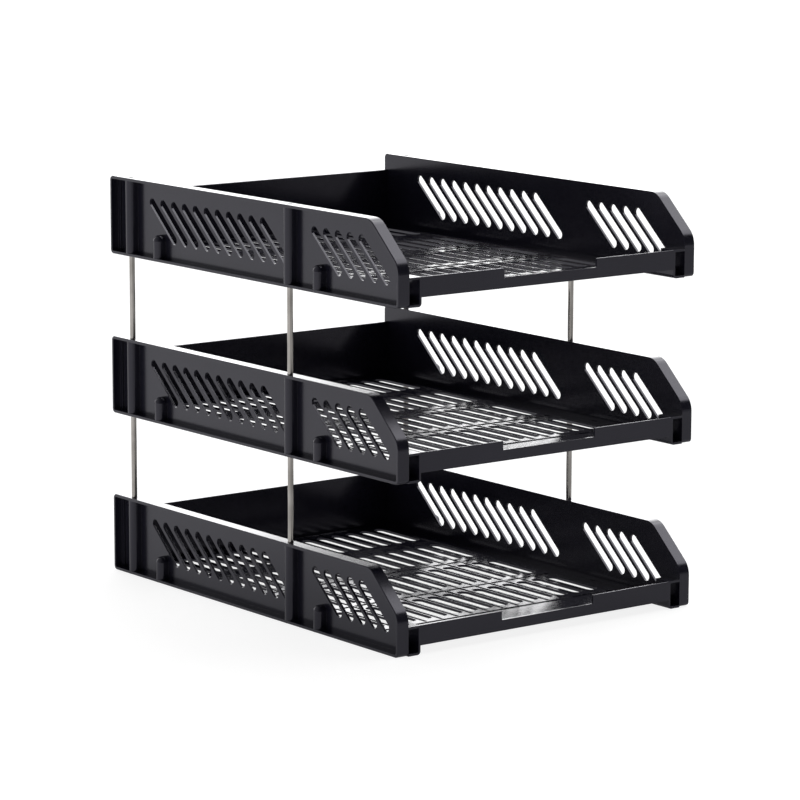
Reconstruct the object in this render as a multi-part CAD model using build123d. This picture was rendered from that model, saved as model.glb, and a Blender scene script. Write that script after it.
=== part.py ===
from build123d import *
from math import atan2, degrees, hypot
import os

# Three-tier letter tray. Three identical slotted trays stand one above another on plain steel
# rods. Each tray is a floor plate, a back panel and a mirrored pair of side panels.
# Frame: origin at the centre of the footprint on the surface it stands on, +X to the right,
# +Y to the back, +Z up. The open front faces -Y. Sizes are in millimetres.

# ---- overall sizes ----
TIERS = ("lower", "middle", "top")
TRAY_W = 256.0  # outside width of a tray
TRAY_L = 340.0  # depth of a tray, front to back
TRAY_H = 56.0  # height of a side panel
TIER_GAP = 60.0  # clear height between one tray and the next

# ---- rods and their sockets ----
ROD_D = 4.0
ROD_CHAMFER = 0.4
SOCKET_CLEARANCE = 0.05  # radial room of a rod in its socket
SOCKET_DEPTH = 18.0
SOCKET_MOUTH = 0.3  # lead-in chamfer
REAR_ROD_INSET = 21.0  # rear rods, in from the back edge
FRONT_ROD_INSET = 126.0  # front rods, in from the front edge

# ---- side panels ----
SIDE_T = 9.0  # overall thickness of a side panel
WEB_T = 1.7  # thin sheet on the panel's inner side
RIM_T = 2.0  # flange round the edge of the web
SQUARE_CORNER_R = 3.0  # corners at the rear and at the front foot
NOSE_CORNER_R = 14.0  # both ends of the slope
RIM_CHAMFER = 0.4
NOSE_RUN = 30.5  # length of the sloping front corner, seen from the side
NOSE_DROP = 28.0  # how far below the panel's top the slope starts
BOSS_SETBACK = 0.2  # socket bosses end this far inside the outer face
PILLAR_H = 18.5
REAR_PILLAR_FROM_ROD = 35.0  # each domed pillar stands this far in front of a rod
FRONT_PILLAR_FROM_ROD = 33.0

# ---- slanted slots in the side panels ----
SIDE_SLOT_W = 6.4
SIDE_SLOT_TOP_MARGIN = 16.0  # upper end centre, below the panel's top
SIDE_SLOT_FOOT = 15.8  # lower end centre, above the panel's bottom
SIDE_SLOT_LEAN = 1.128  # run towards the front for each unit of height
REAR_GROUP_START = 22.5  # first slot of each group, in front of its rod
REAR_GROUP_PITCH = 13.5
FRONT_GROUP_START = 24.0
FRONT_GROUP_PITCH = 13.1
BOSS_GAP = 0.4  # least web left between a slot and the front boss
NOSE_GAP = 14.5  # least web left between a slot and the front edge

# ---- floor plate ----
FLOOR_T = 1.8
FLOOR_LIFT = 0.7  # underside of the plate above the panels' lower edge
RAMP_RUN = 38.0  # length of the ramp that rises to the lip
RAMP_RISE = 5.5
LIP_T = 1.6
LIP_TOP = 19.7
LIP_EDGE_R = 0.6
NOTCH_W = 80.0  # finger notch
NOTCH_FLOOR = 13.6
NOTCH_R = 0.8
RIB_W = 1.0
RIB_H = 0.5
FIELD_FRONT_MARGIN = 61.75  # slotted part of the floor, in from the front edge
FIELD_REAR_MARGIN = 4.25
FLOOR_SLOT_ROWS = 4
FLOOR_SLOT_W = 8.5
FLOOR_SLOT_PITCH = 13.5
FLOOR_SLOT_GAP = 16.5  # plate left between two rows of slots
LUG_W = 6.0
LUG_REACH = 3.5  # how far a lug enters the side panel
FIT_CLEARANCE = 0.15  # room round lugs and tongues

# ---- channels under the front corners of the floor ----
CHANNEL_W = 10.0
CHANNEL_T = 1.5
CHANNEL_R = 2.5
CHANNEL_L = 42.0
POCKET_L = 13.5  # the front of a channel stands as high as the lip

# ---- back panel ----
BACK_T = 2.0
BACK_TOP = 44.0
BACK_SETBACK = 1.5
BACK_EDGE_R = 0.7
TONGUE = 2.0
GROOVE_WALL = 1.3

# ---- sizes that follow from the ones above ----
FRONT = -TRAY_L / 2
REAR = TRAY_L / 2
INNER_X = TRAY_W / 2 - SIDE_T
ROD_X = TRAY_W / 2 - SIDE_T / 2
ROD_Y = {"front": FRONT + FRONT_ROD_INSET, "rear": REAR - REAR_ROD_INSET}
PILLAR_Y = (ROD_Y["front"] - FRONT_PILLAR_FROM_ROD, ROD_Y["rear"] - REAR_PILLAR_FROM_ROD)
BOSS_R = SIDE_T / 2 - BOSS_SETBACK
SOCKET_R = ROD_D / 2 + SOCKET_CLEARANCE
TIER_PITCH = TRAY_H + TIER_GAP
ROD_L = TIER_GAP + 2 * SOCKET_DEPTH
FLOOR_TOP = FLOOR_LIFT + FLOOR_T
BEND_Y = FRONT + RAMP_RUN
FIELD_FRONT = FRONT + FIELD_FRONT_MARGIN
FIELD_REAR = REAR - FIELD_REAR_MARGIN
CHANNEL_X = INNER_X - CHANNEL_W
BACK_Y = REAR - BACK_SETBACK - BACK_T / 2


def block(x, y, z):
    """Box given by its limits along each axis."""
    size = Box(x[1] - x[0], y[1] - y[0], z[1] - z[0])
    return Pos((x[0] + x[1]) / 2, (y[0] + y[1]) / 2, (z[0] + z[1]) / 2) * size


def side_outline(inset):
    """Edge of a side panel seen from the side, moved in by inset all round."""
    face = make_face(Polyline(
        (FRONT, 0),
        (REAR, 0),
        (REAR, TRAY_H),
        (FRONT + NOSE_RUN, TRAY_H),
        (FRONT, TRAY_H - NOSE_DROP),
        close=True,
    ))
    if inset:
        face = offset(face, -inset, kind=Kind.INTERSECTION)
    front_corners = face.vertices().filter_by(lambda v: v.X < 0).sort_by(Axis.Y)
    face = fillet(front_corners[1:], NOSE_CORNER_R - inset)
    square = face.vertices().filter_by(lambda v: v.X > 0) + face.vertices().sort_by(lambda v: v.X + v.Y)[:1]
    return fillet(square, SQUARE_CORNER_R - inset)


def slot_starts(first, last, pitch):
    """Positions of the upper slot ends from first towards the front, none beyond last."""
    count = int((first - last) / pitch) + 1
    return [first - i * pitch for i in range(count)]


def side_slots():
    """Slanted slots of one side panel, in two groups parted by the front boss."""
    rise = TRAY_H - SIDE_SLOT_TOP_MARGIN - SIDE_SLOT_FOOT
    run = rise * SIDE_SLOT_LEAN
    reach = run + SIDE_SLOT_W / 2
    rear_last = ROD_Y["front"] + BOSS_R + BOSS_GAP + reach
    front_last = FRONT + NOSE_GAP + reach
    starts = slot_starts(ROD_Y["rear"] - REAR_GROUP_START, rear_last, REAR_GROUP_PITCH)
    starts += slot_starts(ROD_Y["front"] - FRONT_GROUP_START, front_last, FRONT_GROUP_PITCH)
    slot = Rot(0, 0, degrees(atan2(rise, run))) * SlotCenterToCenter(hypot(rise, run), SIDE_SLOT_W)
    slots = Sketch() + [Pos(y - run / 2, SIDE_SLOT_FOOT + rise / 2) * slot for y in starts]
    return extrude(Plane.YZ.offset(INNER_X) * slots, WEB_T)


def socket_boss(y):
    """Full-height boss that holds the rods, round on its outer side."""
    outline = Pos(ROD_X, y) * Circle(BOSS_R)
    outline += Pos((INNER_X + ROD_X) / 2, y) * Rectangle(ROD_X - INNER_X, 2 * BOSS_R)
    return extrude(outline, TRAY_H)


def pillar(y):
    """Short pillar with a domed top that takes one lug of the floor."""
    spring = PILLAR_H - BOSS_R
    arch = Pos(y, spring / 2) * Rectangle(2 * BOSS_R, spring)
    arch += Pos(y, spring) * Circle(BOSS_R)
    inner = extrude(Plane.YZ.offset(INNER_X) * arch, ROD_X - INNER_X)
    half = Plane.YZ.offset(ROD_X) * (arch & Pos(y + BOSS_R, PILLAR_H / 2) * Rectangle(2 * BOSS_R, PILLAR_H))
    return inner + revolve(half, Axis((ROD_X, y, 0), (0, 0, -1)), 180)


def socket(y, mouth_z, inward):
    """Blind rod socket with a lead-in; inward is -1 from the panel's top, 1 from its bottom."""
    turn = Rot(180, 0, 0) if inward < 0 else Rot(0, 0, 0)
    bore = Pos(0, 0, SOCKET_DEPTH / 2) * Cylinder(SOCKET_R, SOCKET_DEPTH)
    lead = Pos(0, 0, SOCKET_MOUTH / 2) * Cone(SOCKET_R + SOCKET_MOUTH, SOCKET_R, SOCKET_MOUTH)
    return Pos(ROD_X, y, mouth_z) * turn * (bore + lead)


def side_panel():
    """Right-hand side panel: web, rim, slots, bosses, pillars and the openings for its joints."""
    panel = extrude(Plane.YZ.offset(INNER_X) * side_outline(0), SIDE_T)
    panel = chamfer(panel.faces().sort_by(Axis.X)[-1].edges(), RIM_CHAMFER)
    panel -= extrude(Plane.YZ.offset(INNER_X + WEB_T) * side_outline(RIM_T), SIDE_T)
    panel -= side_slots()
    groove_x = INNER_X + TONGUE + FIT_CLEARANCE
    groove_y = (BACK_Y - BACK_T / 2 - FIT_CLEARANCE, BACK_Y + BACK_T / 2 + FIT_CLEARANCE)
    post_x = (INNER_X, groove_x + GROOVE_WALL)
    panel += block(post_x, (groove_y[0] - GROOVE_WALL, REAR - RIM_T / 2), (RIM_T / 2, TRAY_H - RIM_T / 2))
    for y in ROD_Y.values():
        panel += socket_boss(y)
    for y in PILLAR_Y:
        panel += pillar(y)
    for y in ROD_Y.values():
        panel -= socket(y, TRAY_H, -1) + socket(y, 0, 1)
    half_window = LUG_W / 2 + FIT_CLEARANCE
    for y in PILLAR_Y:
        window_x = (INNER_X, INNER_X + LUG_REACH + FIT_CLEARANCE)
        panel -= block(window_x, (y - half_window, y + half_window), (FLOOR_LIFT, FLOOR_TOP + FIT_CLEARANCE))
    panel -= block((INNER_X, groove_x), groove_y, (FLOOR_TOP, BACK_TOP + FIT_CLEARANCE))
    return panel


def floor_sheet():
    """Plate, ramp and lip as one bent sheet, narrower in front where the pockets stand."""
    sheet = make_face(Polyline(
        (REAR, FLOOR_LIFT),
        (REAR, FLOOR_TOP),
        (BEND_Y, FLOOR_TOP),
        (FRONT + LIP_T, FLOOR_TOP + RAMP_RISE * (1 - LIP_T / RAMP_RUN)),
        (FRONT + LIP_T, LIP_TOP),
        (FRONT, LIP_TOP),
        (FRONT, FLOOR_LIFT + RAMP_RISE),
        (BEND_Y, FLOOR_LIFT),
        close=True,
    ))
    sheet = fillet(sheet.vertices().group_by(Axis.Y)[-1], LIP_EDGE_R)
    sheet = extrude(Plane.YZ.offset(-INNER_X) * sheet, 2 * INNER_X)
    for side in (-1, 1):
        limits = sorted((side * CHANNEL_X, side * (INNER_X + 1)))
        sheet -= block(limits, (FRONT - 1, FRONT + POCKET_L), (0, LIP_TOP + 1))
    return sheet


def floor_slots():
    """Rows of long slots through the plate, laid out evenly about the middle."""
    columns = int((CHANNEL_X - FLOOR_SLOT_W / 2 - FLOOR_SLOT_PITCH / 2) / FLOOR_SLOT_PITCH) + 1
    row_pitch = (FIELD_REAR - FIELD_FRONT) / FLOOR_SLOT_ROWS
    slot = Rot(0, 0, 90) * SlotOverall(row_pitch - FLOOR_SLOT_GAP, FLOOR_SLOT_W)
    middle = Pos(0, (FIELD_FRONT + FIELD_REAR) / 2)
    grid = GridLocations(FLOOR_SLOT_PITCH, row_pitch, 2 * columns, FLOOR_SLOT_ROWS)
    return extrude(Pos(0, 0, FLOOR_LIFT) * middle * (Sketch() + [place * slot for place in grid]), FLOOR_T)


def floor_ribs():
    """Thin raised ribs between the slots, lengthwise and crosswise."""
    columns = int((CHANNEL_X - RIB_W / 2) / FLOOR_SLOT_PITCH)
    length = FIELD_REAR - FIELD_FRONT
    middle = (FIELD_FRONT + FIELD_REAR) / 2
    ribs = Sketch()
    for i in range(-columns, columns + 1):
        ribs += Pos(i * FLOOR_SLOT_PITCH, middle) * Rectangle(RIB_W, length)
    for i in range(FLOOR_SLOT_ROWS + 1):
        ribs += Pos(0, FIELD_FRONT + i * length / FLOOR_SLOT_ROWS) * Rectangle(2 * CHANNEL_X, RIB_W)
    return extrude(Pos(0, 0, FLOOR_TOP) * ribs, RIB_H)


def corner_channel():
    """Right-hand channel under the ramp, ending in a hollow pocket as high as the lip."""
    outer = Pos(INNER_X - CHANNEL_W / 2, LIP_TOP / 2) * Rectangle(CHANNEL_W, LIP_TOP)
    corners = outer.vertices().group_by(Axis.X)[0].sort_by(Axis.Y)
    outer = fillet(corners[0], CHANNEL_R)
    hollow_w = CHANNEL_W - CHANNEL_T
    hollow = Pos(INNER_X - hollow_w / 2, LIP_TOP / 2) * Rectangle(hollow_w, LIP_TOP - 2 * CHANNEL_T)
    section = Plane.XZ.offset(-FRONT) * (outer - hollow)
    pocket = extrude(section, -POCKET_L)
    middle_of_sheet = FLOOR_LIFT + FLOOR_T / 2
    below_ramp = make_face(Polyline(
        (FRONT, 0),
        (FRONT + CHANNEL_L, 0),
        (FRONT + CHANNEL_L, middle_of_sheet),
        (BEND_Y, middle_of_sheet),
        (FRONT, middle_of_sheet + RAMP_RISE),
        close=True,
    ))
    below_ramp = extrude(Plane.YZ.offset(CHANNEL_X) * below_ramp, CHANNEL_W)
    return pocket + (extrude(section, -CHANNEL_L) & below_ramp)


def tray_floor():
    """Floor plate with its ramp, notched lip, slots, ribs, corner channels and side lugs."""
    floor = floor_sheet() - floor_slots() + floor_ribs()
    channel = corner_channel()
    floor += channel + mirror(channel, Plane.YZ)
    for y in PILLAR_Y:
        limits = (-INNER_X - LUG_REACH, INNER_X + LUG_REACH)
        lug = block(limits, (y - LUG_W / 2, y + LUG_W / 2), (FLOOR_LIFT, FLOOR_TOP))
        floor += lug - block((-CHANNEL_X, CHANNEL_X), (y - LUG_W, y + LUG_W), (0, FLOOR_TOP + 1))
    depth = LIP_TOP - NOTCH_FLOOR
    notch = Pos(0, LIP_TOP) * Rectangle(NOTCH_W, 2 * depth)
    notch = fillet(notch.vertices().group_by(Axis.Y)[0], NOTCH_R)
    return floor - extrude(Plane.XZ.offset(-FRONT) * notch, -LIP_T)


def back_panel():
    """Low wall across the back; its ends are tongues that sit in the side panels."""
    section = Pos(BACK_Y, (FLOOR_TOP + BACK_TOP) / 2) * Rectangle(BACK_T, BACK_TOP - FLOOR_TOP)
    section = fillet(section.vertices().group_by(Axis.Y)[-1], BACK_EDGE_R)
    reach = INNER_X + TONGUE
    return extrude(Plane.YZ.offset(-reach) * section, 2 * reach)


def rod():
    """Plain steel rod with chamfered ends, standing on z = 0."""
    bar = Pos(0, 0, ROD_L / 2) * Cylinder(ROD_D / 2, ROD_L)
    return chamfer(bar.edges().filter_by(GeomType.CIRCLE), ROD_CHAMFER)


def letter_tray():
    """Every separate piece, by name, in its place."""
    right = side_panel()
    tray = {
        "side_right": right,
        "side_left": mirror(right, Plane.YZ),
        "floor": tray_floor(),
        "back": back_panel(),
    }
    pieces = {}
    for level, tier in enumerate(TIERS):
        for name, shape in tray.items():
            pieces[f"{tier}_{name}"] = Pos(0, 0, level * TIER_PITCH) * shape
    bar = rod()
    for level, tier in enumerate(TIERS[:-1]):
        foot_z = level * TIER_PITCH + TRAY_H - SOCKET_DEPTH
        for row, y in ROD_Y.items():
            for side, x in (("left", -ROD_X), ("right", ROD_X)):
                pieces[f"{tier}_rod_{row}_{side}"] = Pos(x, y, foot_z) * bar
    return pieces


os.makedirs("parts", exist_ok=True)
for node, shape in letter_tray().items():
    export_step(shape, f"parts/{node}.step")
    print(node, round(shape.volume, 1), "mm3")
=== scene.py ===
# %% [markdown]
# # A three-tier letter tray in black plastic and bright steel
# The object is three identical trays on slender steel rods, each tray modelled as four mouldings.
# Its shape, its sizes and its moving bodies come from a imported CAD model, so this lesson only makes
# it look like the real thing. It loads the CAD parts first.

# %% Load the CAD parts
import math

import bpy
from mathutils import Euler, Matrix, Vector

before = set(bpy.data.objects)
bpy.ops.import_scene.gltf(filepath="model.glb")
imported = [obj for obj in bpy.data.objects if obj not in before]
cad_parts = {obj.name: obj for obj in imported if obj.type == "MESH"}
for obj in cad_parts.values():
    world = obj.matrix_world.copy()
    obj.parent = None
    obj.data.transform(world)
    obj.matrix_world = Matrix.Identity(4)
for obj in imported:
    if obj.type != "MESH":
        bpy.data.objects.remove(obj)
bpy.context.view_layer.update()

# %% [markdown]
# ## Where the viewer stands
# A long lens far away keeps the upright edges nearly parallel, as in a catalogue picture. The
# camera stands in front of the object to the left, a little above the top tray. It is aimed with
# two angles, the compass direction and the drop below the horizon, rather than with a tracking
# constraint, so the aim stays where it is when a tray is lifted.

# %% Camera
CAMERA_PLACE = Vector((-1.5648, -2.0478, 0.5874))
CAMERA_TURN = -37.45
CAMERA_DROP = 9.95
CAMERA_ROLL = 0.12
LENS_MM = 166.5

camera = bpy.data.objects.new("camera", bpy.data.cameras.new("camera"))
bpy.context.scene.collection.objects.link(camera)
camera.data.lens = LENS_MM
camera.data.sensor_width = 36.0
camera.location = CAMERA_PLACE
aim = Euler((math.radians(90.0 - CAMERA_DROP), 0.0, math.radians(CAMERA_TURN)), "XYZ").to_matrix()
roll = Euler((0.0, 0.0, math.radians(CAMERA_ROLL)), "XYZ").to_matrix()
camera.rotation_euler = (aim @ roll).to_euler()
bpy.context.scene.camera = camera
print("camera distance, m:", round(CAMERA_PLACE.length, 3))

# %% [markdown]
# ## Small helpers for node materials
# Every finish and light below is a shader tree. These helpers only shorten the writing. One adds a
# node and sets its inputs, and one makes a noise pattern in the object's own coordinates. Another
# turns a pattern into a range of values, and the last measures how far a vector points along a
# given direction. Object coordinates keep the grain at its real scale and let it travel with a
# tray when the tray is lifted.


# %% Node helpers
def add_node(tree, kind, **inputs):
    """A new shader node with some of its input sockets set by name."""
    node = tree.nodes.new(kind)
    for name, value in inputs.items():
        node.inputs[name.replace("_", " ")].default_value = value
    return node


def noise(tree, grains_per_metre, detail=3.0, stretch=(1.0, 1.0, 1.0)):
    """A noise pattern fixed to the object, with about that many grains to the metre."""
    place = add_node(tree, "ShaderNodeTexCoord")
    scale = add_node(tree, "ShaderNodeMapping", Scale=stretch)
    grain = add_node(tree, "ShaderNodeTexNoise", Scale=grains_per_metre, Detail=detail)
    tree.links.new(place.outputs["Object"], scale.inputs["Vector"])
    tree.links.new(scale.outputs["Vector"], grain.inputs["Vector"])
    return grain.outputs["Fac"]


def spread(tree, pattern, low, high, start=0.3, end=0.7):
    """The pattern's middle part stretched to run from low to high."""
    fit = add_node(tree, "ShaderNodeMapRange", From_Min=start, From_Max=end, To_Min=low, To_Max=high)
    tree.links.new(pattern, fit.inputs["Value"])
    return fit.outputs["Result"]


def facing(tree, vector, direction):
    """How far a vector reaches along a direction."""
    along = add_node(tree, "ShaderNodeVectorMath")
    along.operation = "DOT_PRODUCT"
    along.inputs[1].default_value = direction
    tree.links.new(vector, along.inputs[0])
    return along.outputs["Value"]


# %% [markdown]
# ## The black moulding
# The trays look like injection-moulded polystyrene, black with a trace of blue. The reflections in
# them are clear but slightly blurred, as from a mould that was polished but not to a mirror. Three
# things, usual on moulded parts, keep it from looking like a flat colour: broad soft patches of
# gloss, a very shallow orange peel a millimetre or two across, and fine dust and rubbed edges from
# handling. The edge wear is found with a bevel node, which compares the true surface with a
# rounded one, so it needs no painted mask.
#
# The same node also rounds the edges in the light. No moulded edge is perfectly sharp, and thin
# bright lines along the rims and bosses are what light does on small radii. A bevel modifier on
# the mesh is the other way to do it. It left faint creases across the flat faces, which are made
# of long thin triangles, so the radius is put into the shading normal instead and the mesh stays
# exactly as designed.


# %% Black plastic
PLASTIC_DARK = (0.0085, 0.0082, 0.0155, 1.0)
PLASTIC_LIGHT = (0.0125, 0.0120, 0.0215, 1.0)
PLASTIC_WORN = (0.019, 0.020, 0.028, 1.0)
PLASTIC_IOR = 1.57
SHEEN_TINT = (0.90, 0.88, 1.0, 1.0)
EDGE_RADIUS = 0.00025
EDGE_TURN = (0.90, 0.995)
TONE_GRAIN, GLOSS_GRAIN, RUB_GRAIN, PEEL_GRAIN, DUST_GRAIN = 26.0, 18.0, 160.0, 420.0, 900.0
RUB_MOST = 0.8
GLOSS_LESS, GLOSS_MORE = 0.015, 0.02
DUST_ROUGHNESS = 0.05
DUST_FROM, DUST_TO = 0.55, 0.75
PEEL_STRENGTH = 0.3


def edge_mask(tree, rounded):
    """White where the rounded surface leaves the true one, black on flat ground."""
    flat = add_node(tree, "ShaderNodeNewGeometry")
    compare = add_node(tree, "ShaderNodeVectorMath")
    compare.operation = "DOT_PRODUCT"
    tree.links.new(rounded.outputs["Normal"], compare.inputs[0])
    tree.links.new(flat.outputs["Normal"], compare.inputs[1])
    return spread(tree, compare.outputs["Value"], 1.0, 0.0, *EDGE_TURN)


def black_plastic(name, gloss, peel_depth):
    """Black moulding compound; gloss is the middle roughness and peel_depth is in metres."""
    material = bpy.data.materials.new(name)
    material.use_nodes = True
    tree = material.node_tree
    shader = tree.nodes["Principled BSDF"]
    shader.inputs["IOR"].default_value = PLASTIC_IOR
    shader.inputs["Specular Tint"].default_value = SHEEN_TINT

    rounded = add_node(tree, "ShaderNodeBevel", Radius=EDGE_RADIUS)

    tone = add_node(tree, "ShaderNodeMix")
    tone.data_type = "RGBA"
    tone.inputs["A"].default_value = PLASTIC_DARK
    tone.inputs["B"].default_value = PLASTIC_LIGHT
    tree.links.new(spread(tree, noise(tree, TONE_GRAIN), 0.0, 1.0), tone.inputs["Factor"])

    worn = add_node(tree, "ShaderNodeMix")
    worn.data_type = "RGBA"
    worn.inputs["B"].default_value = PLASTIC_WORN
    rub = add_node(tree, "ShaderNodeMath")
    rub.operation = "MULTIPLY"
    tree.links.new(edge_mask(tree, rounded), rub.inputs[0])
    tree.links.new(spread(tree, noise(tree, RUB_GRAIN), 0.0, RUB_MOST), rub.inputs[1])
    tree.links.new(tone.outputs["Result"], worn.inputs["A"])
    tree.links.new(rub.outputs["Value"], worn.inputs["Factor"])
    tree.links.new(worn.outputs["Result"], shader.inputs["Base Color"])

    patches = spread(tree, noise(tree, GLOSS_GRAIN), gloss - GLOSS_LESS, gloss + GLOSS_MORE)
    specks = noise(tree, DUST_GRAIN, detail=2.0)
    dust = spread(tree, specks, 0.0, DUST_ROUGHNESS, DUST_FROM, DUST_TO)
    sheen = add_node(tree, "ShaderNodeMath")
    sheen.operation = "ADD"
    tree.links.new(patches, sheen.inputs[0])
    tree.links.new(dust, sheen.inputs[1])
    tree.links.new(sheen.outputs["Value"], shader.inputs["Roughness"])

    peel = add_node(tree, "ShaderNodeBump", Strength=PEEL_STRENGTH, Distance=peel_depth)
    tree.links.new(noise(tree, PEEL_GRAIN, detail=2.0), peel.inputs["Height"])
    tree.links.new(rounded.outputs["Normal"], peel.inputs["Normal"])
    tree.links.new(peel.outputs["Normal"], shader.inputs["Normal"])
    return material


side_finish = black_plastic("side_panel_plastic", gloss=0.19, peel_depth=0.00001)
floor_finish = black_plastic("floor_plastic", gloss=0.15, peel_depth=0.000004)
back_finish = black_plastic("back_panel_plastic", gloss=0.18, peel_depth=0.00001)
print("plastic finishes:", side_finish.name, floor_finish.name, back_finish.name)

# %% [markdown]
# ## The steel rods
# The rods look like drawn wire with a thin nickel plate. Drawing leaves very fine lines along a rod,
# which stretch a highlight lengthwise, and the plate is a warm grey rather than white. A noise
# pattern squeezed round the rod and stretched along it gives those lines both in the gloss and in
# the relief.


# %% Nickel-plated steel
NICKEL_BRIGHT = (0.50, 0.475, 0.45, 1.0)
NICKEL_DULL = (0.34, 0.32, 0.30, 1.0)
DRAW_LINES = (1.0, 1.0, 0.02)
DRAW_GRAIN, STAIN_GRAIN = 2600.0, 60.0
ROD_GLOSS = (0.05, 0.13)
DRAW_STRENGTH, DRAW_DEPTH = 0.35, 0.00001


def nickel_plate():
    """Bright plated wire with faint drawing lines along its length."""
    material = bpy.data.materials.new("nickel_plated_rod")
    material.use_nodes = True
    tree = material.node_tree
    shader = tree.nodes["Principled BSDF"]
    shader.inputs["Metallic"].default_value = 1.0
    lines = noise(tree, DRAW_GRAIN, detail=4.0, stretch=DRAW_LINES)
    tone = add_node(tree, "ShaderNodeMix")
    tone.data_type = "RGBA"
    tone.inputs["A"].default_value = NICKEL_BRIGHT
    tone.inputs["B"].default_value = NICKEL_DULL
    tree.links.new(spread(tree, noise(tree, STAIN_GRAIN), 0.0, 1.0), tone.inputs["Factor"])
    tree.links.new(tone.outputs["Result"], shader.inputs["Base Color"])
    tree.links.new(spread(tree, lines, *ROD_GLOSS), shader.inputs["Roughness"])
    relief = add_node(tree, "ShaderNodeBump", Strength=DRAW_STRENGTH, Distance=DRAW_DEPTH)
    tree.links.new(lines, relief.inputs["Height"])
    tree.links.new(relief.outputs["Normal"], shader.inputs["Normal"])
    return material


rod_finish = nickel_plate()
print("metal finish:", rod_finish.name)

# %% [markdown]
# ## Every part gets its finish
# Each CAD part is named by tier and kind, so the kind picks the finish. The floor is the
# glossiest, so that it mirrors the bright wall behind it clearly. The side panels are a little
# duller, so that the reflection in their flat webs stays soft.

# %% Finish each CAD part
FINISH = {"side": side_finish, "floor": floor_finish, "back": back_finish, "rod": rod_finish}

for node_name, part in sorted(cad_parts.items()):
    kind = node_name.split("_")[1]
    part.data.materials.clear()
    part.data.materials.append(FINISH[kind])
    print(node_name, "->", FINISH[kind].name)

# %% [markdown]
# ## A pale table and a white room
# Glossy black plastic has almost no colour of its own: what shows is the room in it. A product
# studio is built for that. Behind the object stands a bright wall, which the flat tops and floors
# mirror at a grazing angle. A wide soft light on the left puts a clear side on the rods and a
# sheen on the outer panels, and the right side is kept dim so that the front lips stay dark. A
# soft box overhead draws the crisp light lines on the walls of the slots. The table is a pale
# sheet lit from below, so that light also comes up through the slots. Seen directly, table and
# room are plain near-white; a light path node tells that direct look apart from a reflection.

# %% Table
TABLE_SIZE = 14.0
TABLE_TONE = (0.25, 0.25, 0.25, 1.0)
TABLE_SEEN = 1.06
TABLE_LIT = 0.2
GLOW_LEFT = 0.61
GLOW_RIGHT = 0.26
GLOW_FROM = -0.50
GLOW_TO = 0.20
TOWARDS_RIGHT = (0.79, -0.61, 0.0)
WHITE = (1.0, 1.0, 1.0, 1.0)


def seen_directly(tree):
    """1 for a look straight from the viewer, 0 for light that arrives in any other way."""
    return add_node(tree, "ShaderNodeLightPath").outputs["Is Camera Ray"]


def either(tree, choice, when_zero, when_one):
    """Picks between two brightness values; each is a number or a socket."""
    mix = add_node(tree, "ShaderNodeMix")
    tree.links.new(choice, mix.inputs["Factor"])
    for name, value in (("A", when_zero), ("B", when_one)):
        if isinstance(value, float):
            mix.inputs[name].default_value = value
        else:
            tree.links.new(value, mix.inputs[name])
    return mix.outputs["Result"]


table_mesh = bpy.data.meshes.new("table")
half = TABLE_SIZE / 2
corners = [(-half, -half, 0.0), (half, -half, 0.0), (half, half, 0.0), (-half, half, 0.0)]
table_mesh.from_pydata(corners, [], [(0, 1, 2, 3)])
table = bpy.data.objects.new("table", table_mesh)
bpy.context.scene.collection.objects.link(table)
table.location.z = -0.0002

table_finish = bpy.data.materials.new("pale_table")
table_finish.use_nodes = True
glow = table_finish.node_tree
table_shader = glow.nodes["Principled BSDF"]
table_shader.inputs["Base Color"].default_value = TABLE_TONE
table_shader.inputs["Roughness"].default_value = 0.8
table_shader.inputs["Specular IOR Level"].default_value = 0.1
table_shader.inputs["Emission Color"].default_value = WHITE
table_place = add_node(glow, "ShaderNodeTexCoord").outputs["Object"]
rightwards = facing(glow, table_place, TOWARDS_RIGHT)
side_glow = spread(glow, rightwards, GLOW_LEFT, GLOW_RIGHT, GLOW_FROM, GLOW_TO)
table_light = either(glow, seen_directly(glow), side_glow, TABLE_SEEN - TABLE_LIT)
glow.links.new(table_light, table_shader.inputs["Emission Strength"])
table_mesh.materials.append(table_finish)
print("table:", TABLE_SIZE, "m square")

# %% Room light
ROOM_LEFT = 0.50
ROOM_RIGHT = 0.05
BACK_WALL_LIGHT = 3.6
TOWARDS_BACK = (0.61, 0.79, 0.0)
TOWARDS_LEFT = (-0.70, 0.71, 0.0)
OVERHEAD = (0.60, -0.07, 0.79)
OVERHEAD_LIGHT = 2.6
LEFT_FADE = (-0.2, 1.0)
BACK_WALL_FADE = (0.45, 0.92)
OVERHEAD_FADE = (0.88, 0.93)


world = bpy.data.worlds.new("white_room")
bpy.context.scene.world = world
world.use_nodes = True
sky = world.node_tree
look = add_node(sky, "ShaderNodeTexCoord").outputs["Generated"]
sideways = spread(sky, facing(sky, look, TOWARDS_LEFT), ROOM_RIGHT, ROOM_LEFT, *LEFT_FADE)
back_wall = spread(sky, facing(sky, look, TOWARDS_BACK), 0.0, BACK_WALL_LIGHT, *BACK_WALL_FADE)
soft_box = spread(sky, facing(sky, look, OVERHEAD), 0.0, OVERHEAD_LIGHT, *OVERHEAD_FADE)
room = sideways
for light in (back_wall, soft_box):
    total = add_node(sky, "ShaderNodeMath")
    total.operation = "ADD"
    sky.links.new(room, total.inputs[0])
    sky.links.new(light, total.inputs[1])
    room = total.outputs["Value"]
room_light = either(sky, seen_directly(sky), room, 1.0)
sky.links.new(room_light, sky.nodes["Background"].inputs["Strength"])
sky.nodes["Background"].inputs["Color"].default_value = WHITE
bpy.context.scene.view_settings.view_transform = "Standard"
print("room: left", ROOM_LEFT, "right", ROOM_RIGHT, "back wall", BACK_WALL_LIGHT, "overhead", OVERHEAD_LIGHT)
